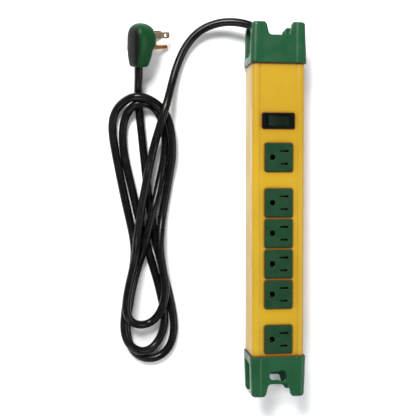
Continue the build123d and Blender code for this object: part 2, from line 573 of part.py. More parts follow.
# The rocker rests tipped, so it is drawn in a plane turned about its pivot
ROCKER_PLANE = Plane(
    origin=(SWITCH_X, SWITCH_Y, PIVOT_Z),
    x_dir=Vector(1, 0, 0).rotate(Axis.Y, ROCKER_TILT),
    z_dir=(0, -1, 0),
)
with BuildPart() as switch_rocker:
    with BuildSketch(ROCKER_PLANE):
        with BuildLine():
            top_left = (-ROCKER_LENGTH / 2, ROCKER_RISE)
            top_right = (ROCKER_LENGTH / 2, ROCKER_RISE)
            ThreePointArc(top_left, (0, ROCKER_RISE - ROCKER_DISH), top_right)
            Polyline(
                top_right,
                (ROCKER_LENGTH / 2, -ROCKER_DROP / 3),
                (ROCKER_LENGTH / 3, -ROCKER_DROP),
                (-ROCKER_LENGTH / 3, -ROCKER_DROP),
                (-ROCKER_LENGTH / 2, -ROCKER_DROP / 3),
                top_left,
            )
        make_face()
    extrude(amount=ROCKER_WIDTH / 2, both=True)
    # Hollow from below
    with BuildSketch(ROCKER_PLANE):
        with BuildLine():
            floor_z = ROCKER_RISE - ROCKER_DISH - ROCKER_WALL
            Polyline(
                (-ROCKER_LENGTH / 2 + ROCKER_WALL, floor_z),
                (ROCKER_LENGTH / 2 - ROCKER_WALL, floor_z),
                (ROCKER_LENGTH / 2 - ROCKER_WALL, -ROCKER_DROP / 3),
                (ROCKER_LENGTH / 3, -ROCKER_DROP - 1),
                (-ROCKER_LENGTH / 3, -ROCKER_DROP - 1),
                (-ROCKER_LENGTH / 2 + ROCKER_WALL, -ROCKER_DROP / 3),
                close=True,
            )
        make_face()
    extrude(amount=ROCKER_WIDTH / 2 - ROCKER_WALL, both=True, mode=Mode.SUBTRACT)
    # Tube that guides the plunger, and the two pivot stubs
    with BuildSketch(Plane(ROCKER_PLANE.origin, ROCKER_PLANE.x_dir, ROCKER_PLANE.y_dir)):
        Circle(PLUNGER_RADIUS + PLUNGER_TUBE)
    extrude(amount=floor_z + ROCKER_WALL / 2)
    with BuildSketch(Plane(ROCKER_PLANE.origin, ROCKER_PLANE.x_dir, ROCKER_PLANE.y_dir)):
        Circle(PLUNGER_RADIUS + PLUNGER_TUBE)
    extrude(amount=-ROCKER_DROP)
    with BuildSketch(Plane(ROCKER_PLANE.origin, ROCKER_PLANE.x_dir, ROCKER_PLANE.y_dir)):
        Circle(PLUNGER_RADIUS)
    extrude(amount=-ROCKER_DROP, mode=Mode.SUBTRACT)
    for side in (-1, 1):
        with BuildSketch(Plane.XZ.offset(-(SWITCH_Y + side * (ROCKER_WIDTH / 2 - ROCKER_WALL)))):
            with Locations((SWITCH_X, PIVOT_Z)):
                Circle(PIVOT_RADIUS)
        extrude(amount=-side * (PIVOT_LENGTH / 2 - ROCKER_WIDTH / 2 + ROCKER_WALL))
switch_rocker.part.label = "switch_rocker"
export_step(switch_rocker.part, "parts/switch_rocker.step")

PLUNGER_PLANE = Plane(ROCKER_PLANE.origin, ROCKER_PLANE.x_dir, ROCKER_PLANE.y_dir)
SPRING_HEIGHT = 2.0
with BuildPart() as switch_plunger:
    with BuildSketch(PLUNGER_PLANE.offset(-SPRING_HEIGHT)):
        Circle(PLUNGER_RADIUS - 0.06)
    extrude(amount=-(PLUNGER_REACH - SPRING_HEIGHT))
    fillet(switch_plunger.edges().sort_by(Axis.Z)[0], PLUNGER_RADIUS * 0.8)
switch_plunger.part.label = "switch_plunger"
export_step(switch_plunger.part, "parts/switch_plunger.step")

with BuildPart() as plunger_spring:
    with BuildSketch(PLUNGER_PLANE.offset(-SPRING_HEIGHT)):
        Circle(PLUNGER_RADIUS - 0.1)
        Circle(PLUNGER_RADIUS / 2, mode=Mode.SUBTRACT)
    extrude(amount=SPRING_HEIGHT)
plunger_spring.part.label = "plunger_spring"
export_step(plunger_spring.part, "parts/plunger_spring.step")

with BuildPart() as switch_lamp:
    lamp_middle = ROCKER_PLANE.from_local_coords((ROCKER_LENGTH / 4, -ROCKER_DROP / 4))
    with BuildSketch(Plane.XZ.offset(-(SWITCH_Y - LAMP_LENGTH / 2))):
        with Locations((lamp_middle.X, lamp_middle.Z)):
            Circle(LAMP_RADIUS)
    extrude(amount=-LAMP_LENGTH)
    fillet(switch_lamp.edges(), LAMP_RADIUS * 0.7)
switch_lamp.part.label = "switch_lamp"
export_step(switch_lamp.part, "parts/switch_lamp.step")

ARM_PLANE = Plane(
    origin=(SWITCH_X, SWITCH_Y, ARM_Z),
    x_dir=Vector(1, 0, 0).rotate(Axis.Y, -ROCKER_TILT * ARM_RATIO),
    z_dir=(0, -1, 0),
)
with BuildPart() as contact_arm:
    with BuildSketch(ARM_PLANE):
        Rectangle(ARM_LENGTH, ARM_THICKNESS)
        with Locations((-ARM_LENGTH / 2 + 1.2, -ARM_THICKNESS)):
            Rectangle(1.6, ARM_THICKNESS)
    extrude(amount=ARM_WIDTH / 2, both=True)
contact_arm.part.label = "contact_arm"
export_step(contact_arm.part, "parts/contact_arm.step")

ARM_DIP = ARM_LENGTH / 2 * math.sin(math.radians(ROCKER_TILT * ARM_RATIO))
CONTACT_TOP_Z = ARM_Z - ARM_DIP - 1.5 * ARM_THICKNESS - ROCKER_GAP
with BuildPart() as switch_terminals:
    for x, top in zip(TERMINAL_XS, (CONTACT_TOP_Z, CRADLE_TOP_Z, CONTACT_TOP_Z - 2)):
        with BuildSketch(Plane.XY.offset(TERMINAL_BOTTOM_Z)):
            with Locations((x, SWITCH_Y)):
                Rectangle(TERMINAL_THICKNESS, TERMINAL_WIDTH)
        extrude(amount=top - TERMINAL_BOTTOM_Z)
switch_terminals.part.label = "switch_terminals"
export_step(switch_terminals.part, "parts/switch_terminals.step")


# ================================================================ leads inside the case
def inner_lead(points):
    """One insulated lead along a route of points, its corners rounded alike."""
    with BuildPart() as lead:
        with BuildLine() as route:
            FilletPolyline(*points, radius=LEAD_BEND)
        path = route.wire()
        with BuildSketch(Plane(origin=path @ 0, z_dir=path % 0)):
            Circle(LEAD_RADIUS)
        sweep(path=path)
    return lead


JACKET_Z = CORD_EXIT_Z
CORE_OFFSET = LEAD_RADIUS * 1.12
LOW_Z = BASE_TOP_Z + 4.0
HIGH_Z = TERMINAL_BOTTOM_Z
LEFT_X = TERMINAL_XS[0] - TERMINAL_THICKNESS - 2.4 * LEAD_RADIUS

line_lead = inner_lead(
    [
        (CORD_EXIT_X + CORE_OFFSET, JACKET_END_Y, JACKET_Z + CORE_OFFSET),
        (CORD_EXIT_X + CORE_OFFSET, JACKET_END_Y - 18, JACKET_Z + CORE_OFFSET),
        (SWITCH_X, SWITCH_Y + 16, LOW_Z),
        (SWITCH_X, SWITCH_Y, LOW_Z),
        (SWITCH_X, SWITCH_Y, HIGH_Z),
    ]
)
line_lead.part.label = "line_lead"
export_step(line_lead.part, "parts/line_lead.step")

neutral_lead = inner_lead(
    [
        (CORD_EXIT_X - CORE_OFFSET, JACKET_END_Y, JACKET_Z + CORE_OFFSET),
        (CORD_EXIT_X - CORE_OFFSET, JACKET_END_Y - 16, JACKET_Z + CORE_OFFSET),
        (LEFT_X, SWITCH_Y + 20, LOW_Z + 5),
        (LEFT_X, SWITCH_Y - 14, LOW_Z + 5),
        (NEUTRAL_BAR_X, BAR_START_Y - 2, LOW_Z + 5),
        (NEUTRAL_BAR_X, BAR_START_Y - 2, BAR_BOTTOM_Z),
    ]
)
neutral_lead.part.label = "neutral_lead"
export_step(neutral_lead.part, "parts/neutral_lead.step")

ground_lead = inner_lead(
    [
        (CORD_EXIT_X, JACKET_END_Y, JACKET_Z - CORE_OFFSET),
        (CORD_EXIT_X, JACKET_END_Y - 14, JACKET_Z - CORE_OFFSET),
        (LEFT_X - 3 * LEAD_RADIUS, SWITCH_Y + 20, LOW_Z),
        (LEFT_X - 3 * LEAD_RADIUS, SWITCH_Y - 14, LOW_Z),
        (GROUND_BAR_X, BAR_START_Y - 2, LOW_Z),
        (GROUND_BAR_X, BAR_START_Y - 2, BAR_BOTTOM_Z),
    ]
)
ground_lead.part.label = "ground_lead"
export_step(ground_lead.part, "parts/ground_lead.step")

switched_lead = inner_lead(
    [
        (TERMINAL_XS[0], SWITCH_Y, HIGH_Z),
        (TERMINAL_XS[0], SWITCH_Y, LOW_Z),
        (HOT_BAR_X - 6, SWITCH_Y - 18, LOW_Z - 1),
        (HOT_BAR_X, BAR_START_Y - 2, LOW_Z),
        (HOT_BAR_X, BAR_START_Y - 2, BAR_BOTTOM_Z),
    ]
)
switched_lead.part.label = "switched_lead"
export_step(switched_lead.part, "parts/switched_lead.step")

with BuildPart() as ground_screw:
    with BuildSketch(Plane.XY.offset(CASE_BACK_Z + SHEET)):
        with Locations((0, BAR_STOP_Y)):
            Circle(GROUND_SCREW_RADIUS - 0.02)
    extrude(amount=SHEET)
    with BuildSketch(Plane.XY.offset(BASE_TOP_Z)):
        with Locations((0, BAR_STOP_Y)):
            Circle(GROUND_SCREW_HEAD)
    extrude(amount=2 * SHEET)
ground_screw.part.label = "ground_screw"
export_step(ground_screw.part, "parts/ground_screw.step")

BONDING_Z = BASE_TOP_Z + 2 * SHEET
bonding_lead = inner_lead(
    [
        (GROUND_BAR_X, BAR_STOP_Y + 2, BAR_BOTTOM_Z),
        (GROUND_BAR_X, BAR_STOP_Y + 2, (BAR_BOTTOM_Z + BONDING_Z) / 2 + 2),
        (0, BAR_STOP_Y, (BAR_BOTTOM_Z + BONDING_Z) / 2),
        (0, BAR_STOP_Y, BONDING_Z),
    ]
)
bonding_lead.part.label = "bonding_lead"
export_step(bonding_lead.part, "parts/bonding_lead.step")


# ================================================================ mains lead
LEAD_ROUTE = [
    (CORD_EXIT_X, JACKET_END_Y, CORD_EXIT_Z),
    (CORD_EXIT_X, TIP_Y - 16.2, CORD_EXIT_Z),
    (-14.0, 178.7, CORD_EXIT_Z),
    (-21.2, 184.6, 21.6),
    (-38.0, 189.4, 19.2),
    (-56.0, 189.8, 14.0),
    (-74.5, 182.6, 9.0),
    (-88.6, 167.5, 6.0),
    (-98.0, 146.5, CORD_LIFT),
    (-104.0, 125.0, 6.4),
    (-109.0, 108.0, 10.5),
]
TAIL_ROUTE = [
    (-136.0, 98.0, 5.4),
    (-137.2, 111.0, 6.8),
    (-137.4, 122.0, 10.6),
    (PLUG_X, PLUG_BOTTOM_Y - LEAD_END * PLUG_HEADING.Y, PLUG_AXIS_Z - LEAD_END * PLUG_HEADING.Z),
    (PLUG_X, PLUG_BOTTOM_Y, PLUG_AXIS_Z),
]


def cord_run(name, points):
    """A stretch of the mains lead along its route."""
    with BuildPart() as cord:
        with BuildLine() as route:
            FilletPolyline(*points, radius=printed_radii(name, points))
        path = route.wire()
        with BuildSketch(Plane(origin=path @ 0, z_dir=path % 0)):
            Circle(CORD_RADIUS)
        sweep(path=path)
    ratio = cord.part.volume / (math.pi * CORD_RADIUS**2 * path.length)
    print(name, "length", round(path.length, 1), "volume over section times length", ratio)
    return cord


cord_lead = cord_run("cord_lead", LEAD_ROUTE)
cord_lead.part.label = "cord_lead"
export_step(cord_lead.part, "parts/cord_lead.step")

cord_tail = cord_run("cord_tail", TAIL_ROUTE)
cord_tail.part.label = "cord_tail"
export_step(cord_tail.part, "parts/cord_tail.step")

# Boot that carries the lead out of the cap and round its bend, thinner towards its tip
BOOT_CORNERS = 5
BOOT_RINGS = 9
with BuildLine() as boot_route:
    boot_points = LEAD_ROUTE[0:BOOT_CORNERS]
    FilletPolyline(*boot_points, radius=printed_radii("boot", boot_points))
boot_line = boot_route.wire()
BOOT_START = (END_WALL_Y - 4.8 - JACKET_END_Y) / boot_line.length
BOOT_STOP = 0.86
with BuildPart() as strain_relief:
    for ring in range(BOOT_RINGS):
        share = ring / (BOOT_RINGS - 1)
        along = BOOT_START + (BOOT_STOP - BOOT_START) * share
        diameter = BOOT_BASE_DIAMETER + (BOOT_TIP_DIAMETER - BOOT_BASE_DIAMETER) * share
        with BuildSketch(Plane(origin=boot_line @ along, z_dir=boot_line % along)):
            Circle(diameter / 2 - 0.05)
    loft()
    with BuildSketch(Plane.XZ.offset(-END_WALL_Y)):
        with Locations((CORD_EXIT_X, CORD_EXIT_Z)):
            Circle(BOOT_FLANGE_DIAMETER / 2)
    extrude(amount=-BOOT_FLANGE)
    with BuildSketch(Plane(origin=boot_line @ 0, z_dir=boot_line % 0)):
        Circle(CORD_RADIUS + BOOT_BORE_CLEARANCE)
    sweep(path=boot_line, mode=Mode.SUBTRACT)
strain_relief.part.label = "strain_relief"
export_step(strain_relief.part, "parts/strain_relief.step")

# Loose hank of the lead: a tall figure of eight, given by the outline of its outer and inner turns
with BuildPart() as cord_hank:
    with BuildSketch(Plane.XY) as outline:
        with BuildLine():
            Spline(
                (-137.5, 118.0),
                (-158.0, 106.0),
                (-167.3, 84.0),
                (-161.0, 40.0),
                (-150.5, -12.0),
                (-144.0, -41.0),
                (-153.0, -84.0),
                (-156.5, -120.0),
                (-147.0, -145.0),
                (-127.0, -155.5),
                (-104.0, -143.0),
                (-97.0, -113.0),
                (-106.0, -66.0),
                (-110.5, -41.0),
                (-106.5, -8.0),
                (-98.5, 62.0),
                (-101.5, 92.0),
                (-111.0, 113.0),
                periodic=True,
            )
        make_face()
        with BuildLine():
            Spline(
                (-131.0, -61.0),
                (-142.0, -84.0),
                (-143.0, -103.0),
                (-132.0, -111.5),
                (-119.0, -104.0),
                (-119.0, -84.0),
                periodic=True,
            )
        make_face(mode=Mode.SUBTRACT)
    extrude(amount=HANK_HEIGHT)
cord_hank.part.label = "cord_hank"
export_step(cord_hank.part, "parts/cord_hank.step")

# ================================================================ plug
PLUG_ORIGIN = Vector(PLUG_X, PLUG_BOTTOM_Y, PLUG_AXIS_Z)
PLUG_UP = Vector(0, 0, 1).rotate(Axis.X, PLUG_PITCH)
PIN_DIRECTION = Vector(1, 0, 0).rotate(Axis((0, 0, 0), PLUG_HEADING), PLUG_ROLL)
ACROSS = PLUG_UP.rotate(Axis((0, 0, 0), PLUG_HEADING), PLUG_ROLL)
SIDE_PLANE = Plane(origin=PLUG_ORIGIN, x_dir=PIN_DIRECTION, z_dir=ACROSS)
FACE_PLANE = Plane(origin=PLUG_ORIGIN, x_dir=ACROSS, z_dir=-PIN_DIRECTION)
END_PLANE = Plane(origin=PLUG_ORIGIN, x_dir=PIN_DIRECTION, z_dir=-PLUG_HEADING)
PIN_PLANE = Plane(
    origin=PLUG_ORIGIN + PIN_DIRECTION * PLUG_FACE + PLUG_HEADING * BLADES_FROM_END,
    x_dir=ACROSS,
    z_dir=-PIN_DIRECTION,
)

with BuildPart() as plug_body:
    # Seen from the side: domed end, flat pin face, and a step down to the lead
    with BuildSketch(SIDE_PLANE):
        with BuildLine():
            start = (-6.5, 0)
            dome = (1.0, PLUG_LENGTH)
            Polyline(start, (-PLUG_BACK + 0.6, 3.5), (-PLUG_BACK, PIN_FACE_START), (-PLUG_BACK, 27.0))
            ThreePointArc((-PLUG_BACK, 27.0), (-PLUG_BACK + 3.0, 39.0), dome)
            ThreePointArc(dome, (11.0, 41.0), (PLUG_FACE, 33.0))
            Polyline(
                (PLUG_FACE, 33.0),
                (PLUG_FACE, PIN_FACE_START),
                (PLUG_FACE - PIN_STEP, PIN_FACE_START - 1.8),
                (PLUG_FACE - PIN_STEP - 3.6, 3.0),
                (PLUG_FACE - PIN_STEP - 5.6, 0),
                start,
            )
        make_face()
    extrude(amount=PLUG_THICKNESS / 2, both=True)
    # Seen along the pins: full width at the pins, narrower at the lead, round at the far end
    with BuildSketch(FACE_PLANE):
        with BuildLine():
            half = PLUG_THICKNESS / 2
            tail = PLUG_TAIL_THICKNESS / 2
            Polyline(
                (-half, 33.0), (-half, PIN_FACE_START - 4), (-tail, 0), (tail, 0),
                (half, PIN_FACE_START - 4), (half, 33.0),
            )
            ThreePointArc((half, 33.0), (0, PLUG_LENGTH + 0.4), (-half, 33.0))
        make_face()
    extrude(amount=2 * PLUG_THICKNESS, both=True, mode=Mode.INTERSECT)
    # Cross-section: rounded back, squarer front
    with BuildSketch(END_PLANE) as cross_section:
        with Locations(((PLUG_FACE - PLUG_BACK) / 2, 0)):
            Rectangle(PLUG_FACE + PLUG_BACK, PLUG_THICKNESS)
        fillet(cross_section.vertices().group_by(Axis.X)[0], PLUG_BACK_ROUND)
        fillet(cross_section.vertices().group_by(Axis.X)[-1], PLUG_FACE_ROUND)
    extrude(amount=2 * PLUG_LENGTH, both=True, mode=Mode.INTERSECT)
    # Sockets for the three pins
    with BuildSketch(PIN_PLANE):
        with Locations((-BLADE_SPACING / 2, 0)):
            Rectangle(BLADE_THICKNESS, NEUTRAL_BLADE_WIDTH)
        with Locations((BLADE_SPACING / 2, 0)):
            Rectangle(BLADE_THICKNESS, BLADE_WIDTH)
        with Locations((0, -GROUND_TO_BLADES)):
            Circle(GROUND_PIN_RADIUS)
    extrude(amount=BLADE_ROOT, mode=Mode.SUBTRACT)
plug_body.part.label = "plug_body"
export_step(plug_body.part, "parts/plug_body.step")


def blade(across, width):
    """A flat plug blade with a bevelled tip and a hole, set into the pin face."""
    hole_plane = Plane(
        origin=PIN_PLANE.origin + ACROSS * across + PIN_DIRECTION * BLADE_HOLE_FROM_FACE,
        x_dir=PIN_DIRECTION,
        z_dir=ACROSS,
    )
    with BuildPart() as piece:
        with BuildSketch(PIN_PLANE.offset(BLADE_ROOT)):
            with Locations((across, 0)):
                Rectangle(BLADE_THICKNESS, width)
        extrude(amount=-BLADE_ROOT - BLADE_LENGTH)
        tip = piece.faces().sort_by(Axis(PLUG_ORIGIN, PIN_DIRECTION))[-1]
        short_edges = tip.edges().sort_by(SortBy.LENGTH)[0:2]
        chamfer(short_edges, BLADE_TIP_BEVEL)
        with BuildSketch(hole_plane):
            Circle(BLADE_HOLE_RADIUS)
        extrude(amount=BLADE_THICKNESS, both=True, mode=Mode.SUBTRACT)
    return piece


blade_neutral = blade(-BLADE_SPACING / 2, NEUTRAL_BLADE_WIDTH)
blade_neutral.part.label = "blade_neutral"
export_step(blade_neutral.part, "parts/blade_neutral.step")

blade_line = blade(BLADE_SPACING / 2, BLADE_WIDTH)
blade_line.part.label = "blade_line"
export_step(blade_line.part, "parts/blade_line.step")

with BuildPart() as ground_pin:
    with BuildSketch(PIN_PLANE.offset(BLADE_ROOT)):
        with Locations((0, -GROUND_TO_BLADES)):
            Circle(GROUND_PIN_RADIUS)
    extrude(amount=-BLADE_ROOT - GROUND_PIN_LENGTH)
    fillet(ground_pin.edges().sort_by(Axis(PLUG_ORIGIN, PIN_DIRECTION))[-1], GROUND_PIN_RADIUS * 0.7)
ground_pin.part.label = "ground_pin"
export_step(ground_pin.part, "parts/ground_pin.step")

pin_mount = PIN_PLANE.origin - PLUG_HEADING * GROUND_TO_BLADES
print("ground pin root", pin_mount, "direction", PIN_DIRECTION)
print("outlets at", [round(y, 1) for y in OUTLET_YS], "face height", OUTLET_TOP_Z)
print("rocker pivot", (SWITCH_X, SWITCH_Y, PIVOT_Z), "arm pivot", (SWITCH_X, SWITCH_Y, ARM_Z))
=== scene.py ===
"""Six-outlet power strip: finishes, mains lead and studio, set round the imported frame.

Everything is in metres in the frame's own axes: X runs across the strip, Y along it
towards the mains lead, Z up from the table that the strip lies on.
"""

import logging
import math
from dataclasses import dataclass, field
from enum import Enum

import bmesh
import bpy
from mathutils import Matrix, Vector

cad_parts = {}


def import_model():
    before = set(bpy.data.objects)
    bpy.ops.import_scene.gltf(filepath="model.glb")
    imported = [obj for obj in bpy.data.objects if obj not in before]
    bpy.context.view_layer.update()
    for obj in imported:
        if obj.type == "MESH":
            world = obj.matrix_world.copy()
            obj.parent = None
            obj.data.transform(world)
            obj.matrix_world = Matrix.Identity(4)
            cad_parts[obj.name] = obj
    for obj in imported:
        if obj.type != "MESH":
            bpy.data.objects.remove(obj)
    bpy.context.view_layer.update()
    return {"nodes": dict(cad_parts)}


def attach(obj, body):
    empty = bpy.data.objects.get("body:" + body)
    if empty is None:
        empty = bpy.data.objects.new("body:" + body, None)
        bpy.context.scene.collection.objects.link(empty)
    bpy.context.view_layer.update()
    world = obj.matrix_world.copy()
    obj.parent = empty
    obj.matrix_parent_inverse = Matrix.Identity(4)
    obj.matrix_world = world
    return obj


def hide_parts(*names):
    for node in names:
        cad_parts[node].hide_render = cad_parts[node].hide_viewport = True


LOG = logging.getLogger("power_strip")
MM = 0.001
STRIP_BODY = "strip"

Colour = tuple[float, float, float]
Point = tuple[float, float, float]


class Grain(Enum):
    """Fine surface of a moulded or sprayed part, as bump cells per metre."""

    ORANGE_PEEL = 260.0
    SPARK = 900.0
    SATIN = 420.0
    DRAWN = 1400.0


@dataclass(frozen=True)
class PlugPose:
    """How the plug lies: pins down to the table, far end propped up on them."""

    lead_end: Point = (-136.9, 143.0, 17.4)
    pitch: float = 14.0
    roll: float = 35.0

    def axes(self) -> tuple[Vector, Vector, Vector]:
        """Directions of the plug as it lies.

        Returns:
            Away from the lead, towards the pins' tips, and across.
        """
        pitch, roll = math.radians(self.pitch), math.radians(self.roll)
        ahead = Vector((0.0, math.cos(pitch), math.sin(pitch)))
        upright = Vector((0.0, -math.sin(pitch), math.cos(pitch)))
        sideways = Vector((1.0, 0.0, 0.0))
        pins = sideways * math.cos(roll) - upright * math.sin(roll)
        across = sideways * math.sin(roll) + upright * math.cos(roll)
        return ahead, pins, across


# ---------------------------------------------------------------- shader bench
class ShaderBench:
    """One material and the nodes that are wired into its Principled shader."""

    def __init__(self, name: str) -> None:
        """Start an empty material.

        Args:
            name: Name of the material.
        """
        self.material = bpy.data.materials.new(name)
        self.material.use_nodes = True
        self.nodes = self.material.node_tree.nodes
        self.links = self.material.node_tree.links
        self.shader = self.nodes["Principled BSDF"]
        self.place = self.add("ShaderNodeTexCoord").outputs["Object"]

    def add(self, kind: str) -> bpy.types.Node:
        """Add one node.

        Args:
            kind: Blender's type name of the node.

        Returns:
            The new node.
        """
        return self.nodes.new(kind)

    def wire(self, source: bpy.types.NodeSocket, target: bpy.types.NodeSocket) -> None:
        """Join two sockets.

        Args:
            source: Output socket.
            target: Input socket.
        """
        self.links.new(source, target)

    def stretched(self, stretch: Point) -> bpy.types.NodeSocket:
        """Object coordinates, scaled differently along each axis.

        Args:
            stretch: Scale along X, Y and Z.

        Returns:
            The scaled coordinates.
        """
        mapping = self.add("ShaderNodeMapping")
        mapping.inputs["Scale"].default_value = stretch
        self.wire(self.place, mapping.inputs["Vector"])
        return mapping.outputs["Vector"]

    def noise(
        self, scale: float, detail: float = 3.0, stretch: Point = (1.0, 1.0, 1.0)
    ) -> bpy.types.NodeSocket:
        """Cloudy noise in object space.

        Args:
            scale: Cells per metre.
            detail: Octaves.
            stretch: Scale along each axis.

        Returns:
            The noise's factor.
        """
        texture = self.add("ShaderNodeTexNoise")
        texture.inputs["Scale"].default_value = scale
        texture.inputs["Detail"].default_value = detail
        self.wire(self.stretched(stretch), texture.inputs["Vector"])
        return texture.outputs["Fac"]

    def spread(
        self, source: bpy.types.NodeSocket, low: float, high: float, first: float, last: float
    ) -> bpy.types.NodeSocket:
        """Map a value from one range to another, clamped.

        Args:
            source: Value to map.
            low: Value that gives first.
            high: Value that gives last.
            first: Result at low.
            last: Result at high.

        Returns:
            The mapped value.
        """
        span = self.add("ShaderNodeMapRange")
        span.interpolation_type = "SMOOTHSTEP"
        for socket, value in (
            ("From Min", low), ("From Max", high), ("To Min", first), ("To Max", last)
        ):
            span.inputs[socket].default_value = value
        self.wire(source, span.inputs["Value"])
        return span.outputs["Result"]

    def blend(
        self,
        share: bpy.types.NodeSocket,
        first: Colour | bpy.types.NodeSocket,
        second: Colour | bpy.types.NodeSocket,
    ) -> bpy.types.NodeSocket:
        """Mix two colours.

        Args:
            share: How much of the second colour shows.
            first: Colour or socket at no share.
            second: Colour or socket at full share.

        Returns:
            The mixed colour.
        """
        mixer = self.add("ShaderNodeMix")
        mixer.data_type = "RGBA"
        self.wire(share, mixer.inputs["Factor"])
        colour_inputs = [socket for socket in mixer.inputs if socket.type == "RGBA"]
        for socket, colour in zip(colour_inputs, (first, second)):
            if isinstance(colour, tuple):
                socket.default_value = (*colour, 1.0)
            else:
                self.wire(colour, socket)
        return next(socket for socket in mixer.outputs if socket.type == "RGBA")

    def softened(self, radius: float) -> bpy.types.NodeSocket:
        """Normals rounded over sharp edges.

        Args:
            radius: Radius of the rounding.

        Returns:
            The rounded normal.
        """
        rounding = self.add("ShaderNodeBevel")
        rounding.samples = 6
        rounding.inputs["Radius"].default_value = radius
        return rounding.outputs["Normal"]

    def edge_wear(self, radius: float) -> bpy.types.NodeSocket:
        """Share that rises towards sharp edges.

        Args:
            radius: How far the wear reaches from an edge.

        Returns:
            0 on flat faces, up to 1 on edges.
        """
        compare = self.add("ShaderNodeVectorMath")
        compare.operation = "DOT_PRODUCT"
        self.wire(self.softened(radius), compare.inputs[0])
        self.wire(self.add("ShaderNodeNewGeometry").outputs["Normal"], compare.inputs[1])
        return self.spread(compare.outputs["Value"], 0.97, 0.80, 0.0, 1.0)

    def corner_shade(self, reach: float) -> bpy.types.NodeSocket:
        """Painted shade: share that rises in the corner between two pieces, read from ambient occlusion.

        Args:
            reach: How far the painted shade comes out of the corner.

        Returns:
            0 in the open, up to 1 in a corner.
        """
        hollow = self.add("ShaderNodeAmbientOcclusion")
        hollow.samples = 8
        hollow.inputs["Distance"].default_value = reach
        return self.spread(hollow.outputs["AO"], 0.98, 0.68, 0.0, 1.0)

    def roughen(self, pattern: bpy.types.NodeSocket, low: float, high: float) -> None:
        """Let the roughness follow a pattern.

        Args:
            pattern: Pattern, from 0 to 1.
            low: Roughness where the pattern is low.
            high: Roughness where it is high.
        """
        self.wire(self.spread(pattern, 0.3, 0.7, low, high), self.shader.inputs["Roughness"])

    def relief(
        self,
        height: bpy.types.NodeSocket,
        depth: float,
        strength: float,
        normal: bpy.types.NodeSocket | None = None,
    ) -> bpy.types.NodeSocket:
        """Bump from a height.

        Args:
            height: Height, from 0 to 1.
            depth: What a height of 1 stands for.
            strength: Share of the bump that shows.
            normal: Normal that the bump starts from.

        Returns:
            The bumped normal.
        """
        bump = self.add("ShaderNodeBump")
        bump.inputs["Distance"].default_value = depth
        bump.inputs["Strength"].default_value = strength
        self.wire(height, bump.inputs["Height"])
        if normal is not None:
            self.wire(normal, bump.inputs["Normal"])
        return bump.outputs["Normal"]


# ---------------------------------------------------------------- finishes
@dataclass(frozen=True)
class SprayedPaint:
    """Sprayed gloss paint on sheet steel, with painted shade and painted reflection where other parts
    meet it.
    """

    name: str
    colour: Colour
    deep: Colour
    painted_corner_shade: Colour
    roughness: float = 0.34
    coat: float = 0.12
    coat_roughness: float = 0.18
    shine: float = 0.34
    edge: float = 0.0016

    def make(self) -> bpy.types.Material:
        """Build the paint.

        Returns:
            The finished material.
        """
        bench = ShaderBench(self.name)
        clouds = bench.spread(bench.noise(9.0, 4.0), 0.35, 0.68, 0.0, 1.0)
        paint = bench.blend(clouds, self.colour, self.deep)
        # Painted shade and painted reflection: orange-brown where ambient occlusion finds a corner, at
        # the caps' rims and round the outlets.
        paint = bench.blend(bench.corner_shade(0.008), paint, self.painted_corner_shade)
        worn = tuple(min(1.0, 1.04 * part) for part in self.colour)
        paint = bench.blend(bench.edge_wear(self.edge), paint, worn)
        bench.wire(paint, bench.shader.inputs["Base Color"])
        streaks = bench.noise(60.0, 5.0, (1.0, 0.25, 1.0))
        bench.roughen(streaks, self.roughness - 0.05, self.roughness + 0.09)
        bench.shader.inputs["Specular IOR Level"].default_value = self.shine
        bench.shader.inputs["Coat Weight"].default_value = self.coat
        bench.shader.inputs["Coat Roughness"].default_value = self.coat_roughness
        peel = bench.noise(Grain.ORANGE_PEEL.value, 2.0)
        normal = bench.relief(peel, 0.00012, 0.35, bench.softened(self.edge))
        bench.wire(normal, bench.shader.inputs["Normal"])
        return bench.material


@dataclass(frozen=True)
class MouldedPlastic:
    """Injection-moulded plastic with a fine moulded grain and rubbed edges."""

    name: str
    colour: Colour
    deep: Colour
    roughness: float = 0.42
    grain: Grain = Grain.SPARK
    grain_depth: float = 0.00004
    edge: float = 0.0008
    rub: float = 1.15
    dust: float = 0.03
    shine: float = 0.32

    def make(self) -> bpy.types.Material:
        """Build the plastic.

        Returns:
            The finished material.
        """
        bench = ShaderBench(self.name)
        clouds = bench.spread(bench.noise(28.0, 5.0), 0.32, 0.68, 0.0, 1.0)
        body = bench.blend(clouds, self.colour, self.deep)
        rubbed = tuple(min(1.0, self.rub * part + 0.002) for part in self.colour)
        body = bench.blend(bench.edge_wear(self.edge), body, rubbed)
        dusty = tuple(part + self.dust * (0.5 - 0.5 * part) for part in self.colour)
        specks = bench.spread(bench.noise(700.0, 2.0), 0.62, 0.78, 0.0, 0.55)
        bench.wire(bench.blend(specks, body, dusty), bench.shader.inputs["Base Color"])
        handling = bench.noise(85.0, 4.0)
        bench.roughen(handling, self.roughness - 0.07, self.roughness + 0.08)
        bench.shader.inputs["Specular IOR Level"].default_value = self.shine
        texture = bench.noise(self.grain.value, 2.0)
        normal = bench.relief(texture, self.grain_depth, 0.5, bench.softened(self.edge))
        bench.wire(normal, bench.shader.inputs["Normal"])
        return bench.material


